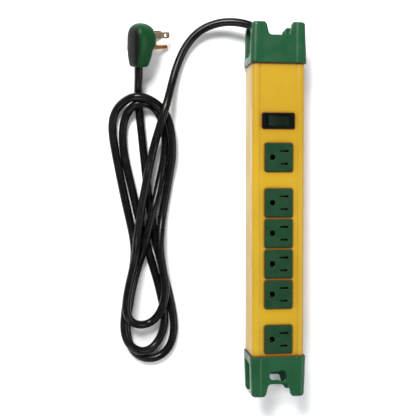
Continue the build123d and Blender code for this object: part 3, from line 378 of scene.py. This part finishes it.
@dataclass(frozen=True)
class WorkedMetal:
    """Drawn, plated or stamped metal with fine lines along it and tarnish."""

    name: str
    colour: Colour
    tarnish: Colour
    roughness: float = 0.3
    lines: Point = (1.0, 1.0, 1.0)
    edge: float = 0.0003

    def make(self) -> bpy.types.Material:
        """Build the metal.

        Returns:
            The finished material.
        """
        bench = ShaderBench(self.name)
        bench.shader.inputs["Metallic"].default_value = 1.0
        stains = bench.spread(bench.noise(120.0, 5.0), 0.4, 0.72, 0.0, 1.0)
        body = bench.blend(stains, self.colour, self.tarnish)
        bright = tuple(min(1.0, 1.25 * part) for part in self.colour)
        bench.wire(
            bench.blend(bench.edge_wear(self.edge), body, bright),
            bench.shader.inputs["Base Color"],
        )
        drawn = bench.noise(Grain.DRAWN.value, 2.0, self.lines)
        bench.roughen(drawn, self.roughness - 0.08, self.roughness + 0.12)
        normal = bench.relief(drawn, 0.00002, 0.4, bench.softened(self.edge))
        bench.wire(normal, bench.shader.inputs["Normal"])
        return bench.material


@dataclass(frozen=True)
class CordVinyl:
    """Extruded flexible vinyl: glossy, with slow ripples and a little dust."""

    name: str
    colour: Colour
    dull: Colour
    roughness: float = 0.22
    ripple: float = 0.00012
    shine: float = 0.17

    def make(self) -> bpy.types.Material:
        """Build the vinyl.

        Returns:
            The finished material.
        """
        bench = ShaderBench(self.name)
        scuffs = bench.spread(bench.noise(150.0, 6.0), 0.45, 0.75, 0.0, 1.0)
        bench.wire(
            bench.blend(scuffs, self.colour, self.dull), bench.shader.inputs["Base Color"]
        )
        handling = bench.noise(55.0, 4.0)
        bench.roughen(handling, self.roughness - 0.05, self.roughness + 0.12)
        bench.shader.inputs["Specular IOR Level"].default_value = self.shine
        slow = bench.relief(bench.noise(75.0, 2.0), self.ripple, 0.6)
        fine = bench.relief(bench.noise(Grain.SPARK.value, 2.0), 0.00003, 0.4, slow)
        bench.wire(fine, bench.shader.inputs["Normal"])
        return bench.material


@dataclass(frozen=True)
class ClearLens:
    """Tinted clear plastic or glass, slightly hazed."""

    name: str
    colour: Colour
    haze: Colour
    transmission: float = 0.5
    roughness: float = 0.15
    shine: float = 0.5

    def make(self) -> bpy.types.Material:
        """Build the lens.

        Returns:
            The finished material.
        """
        bench = ShaderBench(self.name)
        hazed = bench.spread(bench.noise(260.0, 4.0), 0.4, 0.7, 0.0, 1.0)
        bench.wire(
            bench.blend(hazed, self.colour, self.haze), bench.shader.inputs["Base Color"]
        )
        bench.roughen(bench.noise(400.0), self.roughness, self.roughness + 0.1)
        bench.shader.inputs["Transmission Weight"].default_value = self.transmission
        bench.shader.inputs["IOR"].default_value = 1.49
        bench.shader.inputs["Specular IOR Level"].default_value = self.shine
        normal = bench.relief(bench.noise(1200.0, 2.0), 0.00001, 0.4)
        bench.wire(normal, bench.shader.inputs["Normal"])
        return bench.material


@dataclass(frozen=True)
class PressedBoard:
    """Fibrous insulating board, matt and mottled."""

    name: str
    colour: Colour
    fibre: Colour

    def make(self) -> bpy.types.Material:
        """Build the board.

        Returns:
            The finished material.
        """
        bench = ShaderBench(self.name)
        fibres = bench.noise(520.0, 6.0, (1.0, 0.3, 1.0))
        share = bench.spread(fibres, 0.35, 0.65, 0.0, 1.0)
        bench.wire(
            bench.blend(share, self.colour, self.fibre), bench.shader.inputs["Base Color"]
        )
        bench.roughen(fibres, 0.7, 0.9)
        bench.wire(bench.relief(fibres, 0.00005, 0.6), bench.shader.inputs["Normal"])
        return bench.material


@dataclass(frozen=True)
class ShadeBackedPlastic:
    """Moulded plastic with painted shade: its back, away from the pins, is painted a darker grey."""

    name: str
    colour: Colour
    deep: Colour
    # Colour of the painted shade on the plug's back.
    back: Colour
    pose: PlugPose = PlugPose()
    back_edge: float = -0.0078
    front_edge: float = -0.0046
    roughness: float = 0.36
    shine: float = 0.12

    def make(self) -> bpy.types.Material:
        """Build the plastic.

        Returns:
            The finished material.
        """
        bench = ShaderBench(self.name)
        clouds = bench.spread(bench.noise(60.0, 5.0), 0.32, 0.68, 0.0, 1.0)
        body = bench.blend(clouds, self.colour, self.deep)
        # Painted shade: the side away from the pins turns dark grey, from front_edge to back_edge.
        towards_pins = self.pose.axes()[1]
        offset = bench.add("ShaderNodeVectorMath")
        offset.operation = "SUBTRACT"
        offset.inputs[1].default_value = Vector(self.pose.lead_end) * MM
        bench.wire(bench.place, offset.inputs[0])
        reach = bench.add("ShaderNodeVectorMath")
        reach.operation = "DOT_PRODUCT"
        reach.inputs[1].default_value = towards_pins
        bench.wire(offset.outputs["Vector"], reach.inputs[0])
        painted_shade_share = bench.spread(
            reach.outputs["Value"], self.front_edge, self.back_edge, 0.0, 1.0
        )
        bench.wire(bench.blend(painted_shade_share, body, self.back), bench.shader.inputs["Base Color"])
        handling = bench.noise(110.0, 4.0)
        bench.roughen(handling, self.roughness - 0.08, self.roughness + 0.1)
        bench.shader.inputs["Specular IOR Level"].default_value = self.shine
        texture = bench.noise(Grain.SATIN.value, 3.0)
        normal = bench.relief(texture, 0.0001, 0.4)
        bench.wire(normal, bench.shader.inputs["Normal"])
        return bench.material


Finish = (
    SprayedPaint
    | MouldedPlastic
    | ShadeBackedPlastic
    | WorkedMetal
    | CordVinyl
    | ClearLens
    | PressedBoard
)


@dataclass
class FinishCard:
    """Every finish of the strip, made once and handed out by name."""

    finishes: tuple[Finish, ...] = (
        # The yellow paint's third colour is the painted shade and painted reflection in its corners.
        SprayedPaint("yellow_paint", (0.44, 0.272, 0.008), (0.385, 0.228, 0.006), (0.15, 0.045, 0.003)),
        MouldedPlastic("cap_green", (0.007, 0.064, 0.023), (0.005, 0.050, 0.017), 0.34, edge=0.002),
        MouldedPlastic("outlet_green", (0.003, 0.036, 0.011), (0.002, 0.029, 0.009), 0.36),
        MouldedPlastic("outlet_back_green", (0.012, 0.070, 0.026), (0.009, 0.055, 0.02), 0.5),
        MouldedPlastic(
            "switch_black", (0.003, 0.0035, 0.003), (0.002, 0.0024, 0.002), 0.30, dust=0.012, shine=0.12
        ),
        ClearLens("rocker_lens", (0.003, 0.009, 0.004), (0.005, 0.012, 0.006), 0.05, 0.2, 0.12),
        # The plug's third colour is the painted shade on its back.
        ShadeBackedPlastic("plug_green", (0.005, 0.055, 0.016), (0.004, 0.040, 0.012), (0.006, 0.0062, 0.005)),
        CordVinyl("cord_vinyl", (0.0028, 0.0027, 0.0028), (0.006, 0.006, 0.006)),
        CordVinyl("boot_vinyl", (0.0032, 0.0032, 0.0033), (0.007, 0.007, 0.007), 0.34),
        WorkedMetal("galvanised", (0.58, 0.59, 0.60), (0.46, 0.47, 0.49), 0.42),
        WorkedMetal("rivet_steel", (0.62, 0.62, 0.61), (0.45, 0.44, 0.42), 0.33),
        WorkedMetal("screw_steel", (0.66, 0.65, 0.62), (0.48, 0.46, 0.42), 0.28),
        WorkedMetal("contact_brass", (0.72, 0.52, 0.22), (0.50, 0.33, 0.13), 0.3, (1.0, 0.1, 1.0)),
        WorkedMetal("blade_nickel", (0.52, 0.40, 0.29), (0.33, 0.23, 0.15), 0.26, (1.0, 3.0, 1.0)),
        WorkedMetal("ground_copper", (0.60, 0.30, 0.15), (0.36, 0.16, 0.08), 0.26, (1.0, 3.0, 1.0)),
        WorkedMetal("spring_steel", (0.60, 0.60, 0.60), (0.42, 0.42, 0.43), 0.3),
        ClearLens("lamp_glass", (0.75, 0.33, 0.14), (0.60, 0.30, 0.16), 0.8, 0.06),
        CordVinyl("lead_black", (0.010, 0.010, 0.011), (0.022, 0.022, 0.023), 0.4),
        CordVinyl("lead_white", (0.68, 0.67, 0.63), (0.55, 0.54, 0.49), 0.4),
        CordVinyl("lead_green", (0.020, 0.24, 0.060), (0.030, 0.17, 0.055), 0.4),
        PressedBoard("liner_board", (0.23, 0.19, 0.13), (0.33, 0.28, 0.20)),
    )
    made: dict[str, bpy.types.Material] = field(default_factory=dict)

    def material(self, name: str) -> bpy.types.Material:
        """Hand out a finish.

        Args:
            name: Name of the finish.

        Returns:
            Its material, built at the first call.
        """
        if name not in self.made:
            finish = next(finish for finish in self.finishes if finish.name == name)
            self.made[name] = finish.make()
        return self.made[name]

    def dress(self, piece: bpy.types.Object, name: str) -> None:
        """Put a finish on the whole of a piece.

        Args:
            piece: Mesh or curve to finish.
            name: Name of the finish.
        """
        piece.data.materials.clear()
        piece.data.materials.append(self.material(name))
        LOG.info("%s is finished in %s", piece.name, name)


# ---------------------------------------------------------------- frame pieces
@dataclass
class StripBody:
    """The strip's own hard pieces, each taking its finish from the card."""

    nodes: dict[str, bpy.types.Object]
    finish_of: dict[str, str] = field(
        default_factory=lambda: {
            "housing_cover": "yellow_paint",
            "housing_base": "yellow_paint",
            "base_rivets": "rivet_steel",
            "insulating_liner": "liner_board",
            "end_cap_cord": "cap_green",
            "end_cap_foot": "cap_green",
            "cap_screws": "screw_steel",
            "hot_bar": "contact_brass",
            "neutral_bar": "contact_brass",
            "ground_bar": "contact_brass",
            "switch_frame": "switch_black",
            "switch_rocker": "rocker_lens",
            "switch_plunger": "switch_black",
            "plunger_spring": "spring_steel",
            "switch_lamp": "lamp_glass",
            "contact_arm": "contact_brass",
            "switch_terminals": "contact_brass",
            "line_lead": "lead_black",
            "neutral_lead": "lead_white",
            "ground_lead": "lead_green",
            "switched_lead": "lead_black",
            "bonding_lead": "lead_green",
            "ground_screw": "screw_steel",
            "blade_line": "blade_nickel",
            "blade_neutral": "blade_nickel",
            "ground_pin": "ground_copper",
        }
    )
    outlets: int = 6

    def dress(self, card: FinishCard) -> None:
        """Finish every carried-over piece.

        Args:
            card: Finishes to take from.
        """
        for number in range(1, self.outlets + 1):
            self.finish_of[f"receptacle_{number}"] = "outlet_green"
            self.finish_of[f"receptacle_back_{number}"] = "outlet_back_green"
        for node, finish in self.finish_of.items():
            card.dress(self.nodes[node], finish)


# ---------------------------------------------------------------- mains lead
@dataclass
class MainsLead:
    """Round mains lead: out of the cap, wound in three open turns, and up to its plug.

    Points are in millimetres, one list for each stretch of the lead.
    """

    diameter: float = 8.3
    length: float = 1845.0
    out_of_cap: list[Point] = field(
        default_factory=lambda: [
            (-10, 147.9, 22), (-10, 165, 22), (-12.8, 177, 22), (-22, 185.3, 21.6),
            (-38, 189.5, 19.2), (-56, 189.6, 14), (-74.5, 182.6, 9), (-88.6, 167.5, 6.2),
            (-98, 146.5, 6), (-103.5, 127, 10),
        ]
    )
    over_the_turns: list[Point] = field(
        default_factory=lambda: [
            (-108, 111, 19), (-112.5, 96, 21.8), (-117, 81, 18), (-121, 67, 12),
            (-125, 50, 11.5), (-129, 31, 13), (-133, 10, 13), (-136, -8, 13.4),
            (-139, -28, 16), (-140, -41, 19.2), (-143, -57, 21.2), (-147, -73, 21.2),
            (-150, -89, 21.2), (-150.5, -101, 21.2),
        ]
    )
    foot_bend_top: list[Point] = field(
        default_factory=lambda: [
            (-146.5, -110.5, 20), (-139.5, -115.5, 14.5), (-131, -116.5, 10.5),
            (-123, -113, 10), (-116.5, -105, 12.5),
        ]
    )
    outer_strand_up: list[Point] = field(
        default_factory=lambda: [
            (-112, -94, 13.2), (-110, -80, 12.8), (-112, -65, 12.7), (-114.8, -49, 12.7),
            (-116, -36, 12.7), (-115, -22, 10), (-113, -7, 5.2), (-108.5, 17, 4.3),
            (-105, 38, 5.2), (-102.8, 53, 9), (-103, 68, 11.3), (-104.5, 82, 12.4),
            (-108, 94, 12.4),
        ]
    )
    outer_arch: list[Point] = field(
        default_factory=lambda: [
            (-114.5, 103.5, 12.8), (-123, 109.5, 15.5), (-132, 113, 18), (-142, 113.5, 17),
            (-151, 109.5, 11), (-158, 103, 5.5), (-162.5, 93.5, 4.3), (-163.5, 82, 4.3),
        ]
    )
    outer_strand_down: list[Point] = field(
        default_factory=lambda: [
            (-162, 68, 4.3), (-159, 52, 4.3), (-155, 31, 4.3), (-150.5, 9, 4.3),
            (-146, -11, 4.3), (-142.8, -26, 5.5), (-141.3, -40, 10), (-142.3, -54, 12.8),
            (-145.5, -70, 12.8), (-149, -87, 12.7), (-151.5, -104, 12.7), (-152.5, -121, 12.7),
        ]
    )
    foot_bend_middle: list[Point] = field(
        default_factory=lambda: [
            (-149.5, -132, 12.8), (-143.5, -139.5, 12.8), (-134.5, -144, 11),
            (-124, -142, 6.5), (-115.5, -132, 4.6), (-111, -119, 4.3), (-111, -105, 4.3),
        ]
    )
    inner_strand_up: list[Point] = field(
        default_factory=lambda: [
            (-114, -90, 4.3), (-118, -73, 4.3), (-123, -56, 4.3), (-128, -39, 4.3),
            (-133, -22, 4.3), (-138, -4, 4.3), (-142.5, 17, 4.3), (-147, 36, 4.3),
            (-151, 54, 4.3), (-153, 72, 4.3), (-152, 88, 4.5),
        ]
    )
    inner_arch: list[Point] = field(
        default_factory=lambda: [
            (-147.5, 99.5, 7.5), (-140.5, 106, 13), (-133, 107.5, 12.8), (-125, 106, 8.5),
            (-117.5, 100.5, 4.6), (-112.5, 90, 4.3), (-109.8, 77, 4.3),
        ]
    )
    inner_strand_down: list[Point] = field(
        default_factory=lambda: [
            (-109.6, 63, 4.3), (-111.5, 48, 4.3), (-114.8, 33, 4.8), (-118, 18, 8),
            (-121.5, 5, 12.5), (-125, -9, 13), (-128.6, -25, 13.2), (-132.2, -38.5, 11.5),
            (-136.5, -54, 5.5), (-141.5, -71, 4.3), (-146, -92, 4.3), (-149, -111, 4.3),
            (-149.5, -126, 4.3),
        ]
    )
    foot_bend_outer: list[Point] = field(
        default_factory=lambda: [
            (-146, -139, 4.3), (-139, -148.5, 4.3), (-128, -153, 4.3), (-116, -151, 4.3),
            (-106, -142, 4.3), (-101.5, -129, 4.3),
        ]
    )
    last_strand_up: list[Point] = field(
        default_factory=lambda: [
            (-101, -114, 4.3), (-103.5, -98, 4.3), (-107.5, -80, 4.3), (-113, -59, 4.3),
            (-119, -35, 4.3), (-123.5, -11, 4.3), (-127.5, 17, 4.3), (-130.5, 45, 4.3),
            (-133, 70, 4.3), (-135.5, 94, 4.3),
        ]
    )
    up_to_plug: list[Point] = field(
        default_factory=lambda: [
            (-137, 110, 5), (-137.3, 122, 9.6), (-136.9, 134.3, 15.2), (-136.9, 144, 17.6),
        ]
    )

    def route(self) -> list[Vector]:
        """Join the stretches into one route.

        Returns:
            The route's points in metres.
        """
        stretches = (
            self.out_of_cap, self.over_the_turns, self.foot_bend_top, self.outer_strand_up,
            self.outer_arch, self.outer_strand_down, self.foot_bend_middle,
            self.inner_strand_up, self.inner_arch, self.inner_strand_down,
            self.foot_bend_outer, self.last_strand_up, self.up_to_plug,
        )
        return [Vector(point) * MM for stretch in stretches for point in stretch]

    def spline_curve(self, name: str, bevel: float) -> bpy.types.Object:
        """Lay one open spline along the route.

        Args:
            name: Name of the curve object.
            bevel: Radius of the tube, or 0 for a bare line.

        Returns:
            The curve object, linked to the scene.
        """
        curve = bpy.data.curves.new(name, "CURVE")
        curve.dimensions = "3D"
        curve.bevel_depth = bevel
        curve.bevel_resolution = 8
        curve.resolution_u = 10
        curve.use_fill_caps = True
        spline = curve.splines.new("NURBS")
        points = self.route()
        spline.points.add(len(points) - 1)
        for control, place in zip(spline.points, points):
            control.co = (*place, 1.0)
        spline.order_u = 3
        spline.use_endpoint_u = True
        lead = bpy.data.objects.new(name, curve)
        bpy.context.scene.collection.objects.link(lead)
        return lead

    def centreline(self) -> list[Vector]:
        """Read the spline's own line.

        Returns:
            Points along the line, from the cap to the plug.
        """
        bare = self.spline_curve("lead_line", 0.0)
        bpy.context.view_layer.update()
        line = bpy.data.meshes.new_from_object(bare)
        points = [vertex.co.copy() for vertex in line.vertices]
        bpy.data.objects.remove(bare)
        bpy.data.meshes.remove(line)
        return points

    def make(self, card: FinishCard) -> bpy.types.Object:
        """Args:
            card: Finishes to take from.

        Returns:
            The lead.
        """
        lead = self.spline_curve("mains_lead", self.diameter / 2 * MM)
        card.dress(lead, "cord_vinyl")
        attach(lead, STRIP_BODY)
        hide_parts("cord_lead", "cord_hank", "cord_tail")
        return lead


@dataclass
class CordBoot:
    """Tapered strain relief that follows the lead out of the cap."""

    start: float = 6.0
    reach: float = 36.0
    base_radius: float = 6.5
    tip_radius: float = 5.0
    flange_radius: float = 7.7
    flange: float = 1.6
    bore_radius: float = 4.25
    ribs: int = 5
    rib_depth: float = 0.3
    ring_points: int = 32

    def profile(self) -> list[tuple[float, float]]:
        """Radius of the boot at each step along the lead.

        Returns:
            Pairs of distance from the lead's end and radius, in millimetres.
        """
        steps = [
            (0.0, self.bore_radius), (0.0, self.base_radius - 0.3), (0.4, self.base_radius),
            (3.6, self.base_radius), (3.9, self.flange_radius - 0.3), (4.2, self.flange_radius),
            (4.2 + self.flange, self.flange_radius), (4.6 + self.flange, self.base_radius + 0.2),
        ]
        taper_from = 5.4 + self.flange
        samples = 8 * self.ribs
        for sample in range(samples + 1):
            share = sample / samples
            radius = self.base_radius + (self.tip_radius - self.base_radius) * share
            groove = self.rib_depth * (0.5 - 0.5 * math.cos(2 * math.pi * self.ribs * share))
            steps.append((taper_from + (self.reach - taper_from - 1.5) * share, radius - groove))
        steps += [
            (self.reach - 0.8, self.tip_radius + 0.1), (self.reach - 0.2, self.tip_radius - 0.1),
            (self.reach, self.tip_radius - 0.5), (self.reach, self.bore_radius),
        ]
        return steps

    def make(self, line: list[Vector], card: FinishCard) -> bpy.types.Object:
        """Loft the boot round the lead.

        Args:
            line: The lead's centreline.
            card: Finishes to take from.

        Returns:
            The boot.
        """
        rings: list[list[bmesh.types.BMVert]] = []
        mesh = bmesh.new()
        for distance, radius in self.profile():
            centre, heading = place_along(line, (self.start + distance) * MM)
            across = heading.cross(Vector((0, 0, 1))).normalized()
            upright = across.cross(heading).normalized()
            ring = []
            for step in range(self.ring_points):
                turn = 2 * math.pi * step / self.ring_points
                spoke = across * math.cos(turn) + upright * math.sin(turn)
                ring.append(mesh.verts.new(centre + spoke * radius * MM))
            rings.append(ring)
        join_rings(mesh, rings + rings[:1])
        boot = mesh_piece("cord_boot", mesh)
        card.dress(boot, "boot_vinyl")
        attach(boot, STRIP_BODY)
        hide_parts("strain_relief")
        return boot


@dataclass
class PlugShell:
    """Rounded plug body that the three pins stand in, lofted from its lead end to its dome.

    Each station is the distance from the lead end, the back, the pin face and half the
    width across, all in millimetres from the lead's line.
    """

    pose: PlugPose = PlugPose()
    squareness: float = 3.1
    ring_points: int = 64
    stations: list[tuple[float, float, float, float]] = field(
        default_factory=lambda: [
            (0.0, -4.2, 4.2, 4.4), (0.0, -6.6, 6.6, 7.2), (0.5, -7.4, 7.6, 8.2),
            (2.0, -8.0, 8.6, 9.0), (6.0, -8.7, 9.9, 9.9), (11.0, -9.1, 11.2, 11.0),
            (16.0, -9.3, 12.1, 11.9), (17.8, -9.35, 12.5, 12.2), (18.6, -9.4, 13.3, 12.3),
            (19.4, -9.4, 15.0, 12.4), (20.4, -9.4, 15.8, 12.4), (23.0, -9.4, 16.0, 12.5),
            (28.0, -9.3, 16.0, 12.5), (31.5, -9.0, 15.6, 12.2), (34.5, -8.3, 14.5, 11.5),
            (37.2, -7.1, 12.8, 10.3), (39.4, -5.4, 10.6, 8.5), (41.0, -3.2, 7.9, 6.1),
            (42.0, -1.0, 5.3, 3.6), (42.4, 1.2, 3.0, 1.2),
        ]
    )

    def ring(
        self, mesh: bmesh.types.BMesh, station: tuple[float, float, float, float]
    ) -> list[bmesh.types.BMVert]:
        """Place one rounded-square ring.

        Args:
            mesh: Mesh to add to.
            station: Distance, back, pin face and half width.

        Returns:
            The ring's vertices.
        """
        distance, back, face, half_width = station
        ahead, pins, across = self.pose.axes()
        middle, half_depth = (back + face) / 2, (face - back) / 2
        verts = []
        for step in range(self.ring_points):
            turn = 2 * math.pi * step / self.ring_points
            deep = math.copysign(abs(math.cos(turn)) ** (2 / self.squareness), math.cos(turn))
            wide = math.copysign(abs(math.sin(turn)) ** (2 / self.squareness), math.sin(turn))
            place = Vector(self.pose.lead_end) + ahead * distance
            place += pins * (middle + half_depth * deep) + across * (half_width * wide)
            verts.append(mesh.verts.new(place * MM))
        return verts

    def make(self, card: FinishCard) -> bpy.types.Object:
        """Loft the plug's body.

        Args:
            card: Finishes to take from.

        Returns:
            The plug's body.
        """
        mesh = bmesh.new()
        rings = [self.ring(mesh, station) for station in self.stations]
        join_rings(mesh, rings)
        mesh.faces.new(rings[0])
        mesh.faces.new(rings[-1])
        shell = mesh_piece("plug_shell", mesh)
        card.dress(shell, "plug_green")
        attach(shell, STRIP_BODY)
        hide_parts("plug_body")
        return shell


def place_along(line: list[Vector], distance: float) -> tuple[Vector, Vector]:
    """Find a place on a line.

    Args:
        line: Points of the line.
        distance: How far along it, in metres.

    Returns:
        The place and the line's direction there.
    """
    passed = 0.0
    for here, there in zip(line, line[1:]):
        run = (there - here).length
        if passed + run >= distance and run > 0:
            return here.lerp(there, (distance - passed) / run), (there - here).normalized()
        passed += run
    return line[-1], (line[-1] - line[-2]).normalized()


def join_rings(mesh: bmesh.types.BMesh, rings: list[list[bmesh.types.BMVert]]) -> None:
    """Skin each ring to the next.

    Args:
        mesh: Mesh that the rings are in.
        rings: Rings with as many vertices each, in order.
    """
    for ring, following in zip(rings, rings[1:]):
        for step in range(len(ring)):
            after = (step + 1) % len(ring)
            mesh.faces.new((ring[step], ring[after], following[after], following[step]))


def mesh_piece(name: str, mesh: bmesh.types.BMesh) -> bpy.types.Object:
    """Turn a built mesh into a smooth-shaded object.

    Args:
        name: Name of the piece.
        mesh: The built mesh, which is freed.

    Returns:
        The object, linked to the scene.
    """
    bmesh.ops.recalc_face_normals(mesh, faces=mesh.faces)
    data = bpy.data.meshes.new(name)
    mesh.to_mesh(data)
    mesh.free()
    for face in data.polygons:
        face.use_smooth = True
    piece = bpy.data.objects.new(name, data)
    bpy.context.scene.collection.objects.link(piece)
    return piece


# ---------------------------------------------------------------- studio
@dataclass(frozen=True)
class SoftLamp:
    """Soft square lamp: where it hangs, what it faces, its side and its power in watts."""

    name: str
    place: Point
    aim: Point
    size: float
    power: float

    def hang(self) -> None:
        """Hang the lamp in the scene."""
        light = bpy.data.lights.new(self.name, "AREA")
        light.shape = "SQUARE"
        light.size = self.size
        light.energy = self.power
        lamp = bpy.data.objects.new(self.name, light)
        lamp.location = self.place
        facing = Vector(self.aim) - Vector(self.place)
        lamp.rotation_euler = facing.to_track_quat("-Z", "Y").to_euler()
        bpy.context.scene.collection.objects.link(lamp)


@dataclass
class Studio:
    """Camera over the strip, pale table and soft light from the upper left."""

    camera_place: Point = (-0.1699, 0.0286, 0.7989)
    camera_turn: Point = (-1.928, -7.466, -0.011)
    lens: float = 67.43
    table_half: float = 2.5
    world_strength: float = 0.30
    lamps: tuple[SoftLamp, ...] = (
        SoftLamp("key_lamp", (-0.58, 0.98, 1.30), (-0.05, 0.0, 0.0), 0.6, 44.0),
        SoftLamp("fill_lamp", (1.2, -0.35, 1.1), (0.0, 0.0, 0.0), 0.9, 9.0),
        SoftLamp("foot_lamp", (-0.55, -1.25, 1.1), (-0.05, 0.0, 0.0), 0.9, 8.0),
    )

    def camera(self) -> None:
        """Set up the camera."""
        optics = bpy.data.cameras.new("studio_camera")
        optics.lens = self.lens
        optics.sensor_width = 36.0
        optics.clip_start = 0.01
        optics.clip_end = 20.0
        camera = bpy.data.objects.new("studio_camera", optics)
        camera.location = self.camera_place
        camera.rotation_euler = [math.radians(turn) for turn in self.camera_turn]
        bpy.context.scene.collection.objects.link(camera)
        bpy.context.scene.camera = camera

    def table(self) -> None:
        """Lay the pale table under the strip."""
        mesh = bmesh.new()
        half = self.table_half
        corners = [
            mesh.verts.new((x, y, 0.0))
            for x, y in ((-half, -half), (half, -half), (half, half), (-half, half))
        ]
        mesh.faces.new(corners)
        table = mesh_piece("studio_table", mesh)
        bench = ShaderBench("table_white")
        bench.shader.inputs["Base Color"].default_value = (0.93, 0.935, 0.94, 1.0)
        bench.shader.inputs["Roughness"].default_value = 0.75
        bench.shader.inputs["Specular IOR Level"].default_value = 0.2
        table.data.materials.append(bench.material)

    def light(self) -> None:
        """Set the sky and the lamps."""
        scene = bpy.context.scene
        scene.view_settings.view_transform = "Standard"
        world = bpy.data.worlds.new("studio_sky")
        world.use_nodes = True
        sky = world.node_tree.nodes["Background"]
        sky.inputs["Color"].default_value = (0.97, 0.98, 1.0, 1.0)
        sky.inputs["Strength"].default_value = self.world_strength
        scene.world = world
        for lamp in self.lamps:
            lamp.hang()

    def build(self) -> None:
        """Lay the table and light it."""
        self.table()
        self.light()
        LOG.info("studio is lit")


def main() -> None:
    """Dress the frame, lay the lead and set up the studio."""
    logging.basicConfig(level=logging.INFO, format="%(name)s: %(message)s")
    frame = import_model()
    studio = Studio()
    studio.camera()
    card = FinishCard()
    mains = MainsLead()
    lead = mains.make(card)
    boot = CordBoot().make(mains.centreline(), card)
    shell = PlugShell().make(card)
    StripBody(frame["nodes"]).dress(card)
    studio.build()
    LOG.info("sizes written")


if __name__ == "__main__":
    main()
